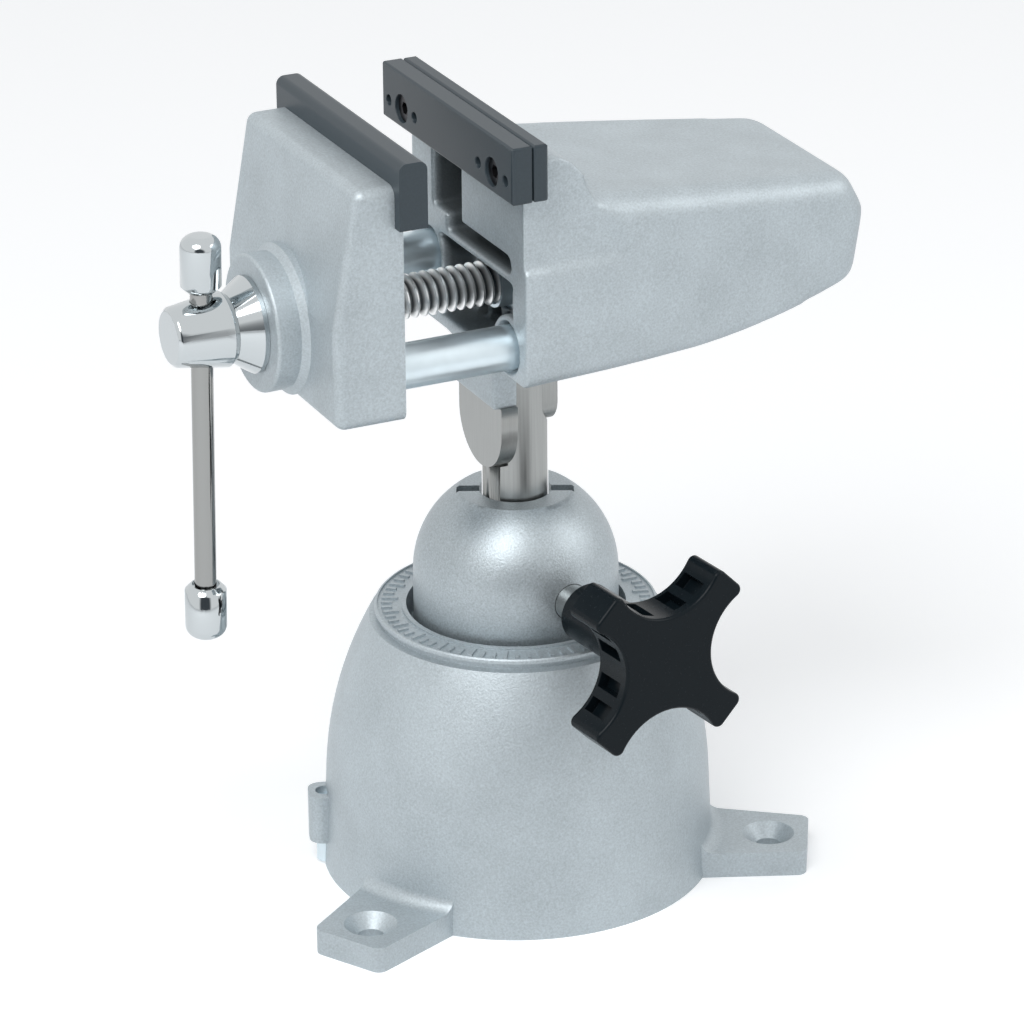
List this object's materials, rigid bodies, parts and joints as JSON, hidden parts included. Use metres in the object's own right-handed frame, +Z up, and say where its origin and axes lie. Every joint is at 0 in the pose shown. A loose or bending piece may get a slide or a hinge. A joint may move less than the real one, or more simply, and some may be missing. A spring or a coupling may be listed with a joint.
{
  "type": "vise",
  "caption": "Bench-mounted work positioning vise: jaws on a post that turns and tilts in a swivelling turret, locked by a star knob, closed by a sliding-handle screw.",
  "frame": {"origin": "On the axis of the base and the post, at the base's underside, where it stands on the bench.", "axes": "Z up along the post. X along the jaws' travel, from the movable jaw and its handle to the fixed jaw's body. Y across the jaws, with the star knob near -Y."},
  "size_m": [0.1499, 0.1237, 0.1744],
  "materials": {
    "silver_casting": "satin",
    "post_steel": "satin",
    "zinc_steel": "bright",
    "chrome": "polished",
    "nut_brass": "satin",
    "black_screw": "satin",
    "jaw_plastic": "satin",
    "knob_plastic": "gloss",
    "washer_plastic": "matte"
  },
  "bodies": {
    "base": {"base_casting": "silver_casting", "retaining_disc": "zinc_steel", "disc_screws": "zinc_steel", "friction_washer": "washer_plastic"},
    "lock": {"lock_screw": "zinc_steel"},
    "turret": {"turret_dome": "silver_casting", "ball_seat": "washer_plastic", "ring_nut": "zinc_steel", "clamp_shoe": "post_steel"},
    "clamp_knob": {"knob_star": "knob_plastic", "knob_stud": "zinc_steel"},
    "tilt_ball": {"ball_half_left": "post_steel", "ball_half_right": "post_steel"},
    "head": {"post": "post_steel", "post_retaining_ring": "post_steel", "front_cheek": "post_steel", "rear_cheek": "post_steel", "cross_pin": "post_steel", "body_casting": "silver_casting", "lead_nut": "nut_brass", "fixed_jaw_backing": "jaw_plastic", "fixed_jaw_plate": "jaw_plastic", "fixed_jaw_screws": "black_screw"},
    "slide_jaw": {"moving_jaw": "silver_casting", "guide_rod_near": "zinc_steel", "guide_rod_far": "zinc_steel", "rod_pins": "zinc_steel", "moving_jaw_pad": "jaw_plastic", "pad_screws": "black_screw"},
    "jaw_screw": {"lead_screw": "zinc_steel", "thrust_cone": "chrome", "screw_collar": "zinc_steel"},
    "handle": {"handle_rod": "post_steel", "handle_cap_top": "chrome", "handle_cap_bottom": "chrome"}
  },
  "joints": [
    {"name": "turret_turn", "type": "hinge", "parent": "base", "child": "turret", "pos_m": [0, 0, 0.06], "axis": [0, 0, 1], "continuous": true},
    {"name": "lock_screw_turn", "type": "hinge", "parent": "base", "child": "lock", "pos_m": [-0.03981, 0.01371, 0.01], "axis": [0, 0, 1], "continuous": true},
    {"name": "knob_turn", "type": "hinge", "parent": "turret", "child": "clamp_knob", "pos_m": [0, 0, 0.0675], "axis": [0.1219, -0.9925, 0], "range_deg": [-180, 180]},
    {"name": "post_tilt", "type": "hinge", "parent": "turret", "child": "tilt_ball", "pos_m": [0, 0, 0.0675], "axis": [-0.9041, 0.4274, 0], "range_deg": [0, 82]},
    {"name": "head_turn", "type": "hinge", "parent": "tilt_ball", "child": "head", "pos_m": [0, 0, 0.0675], "axis": [0, 0, 1], "continuous": true},
    {"name": "jaw_slide", "type": "slide", "parent": "head", "child": "slide_jaw", "axis": [1, 0, 0], "range_m": [-0.03, 0.018]},
    {"name": "screw_turn", "type": "hinge", "parent": "slide_jaw", "child": "jaw_screw", "pos_m": [-0.06, 0, 0.1336], "axis": [1, 0, 0], "range_deg": [-5110, 3065]},
    {"name": "handle_slide", "type": "slide", "parent": "jaw_screw", "child": "handle", "axis": [0, -0.0454, 0.999], "range_m": [-0.0012, 0.047]}
  ],
  "couplings": [
    {"joint": "screw_turn", "follows": "jaw_slide", "rad_per_m": 2968.4}
  ]
}
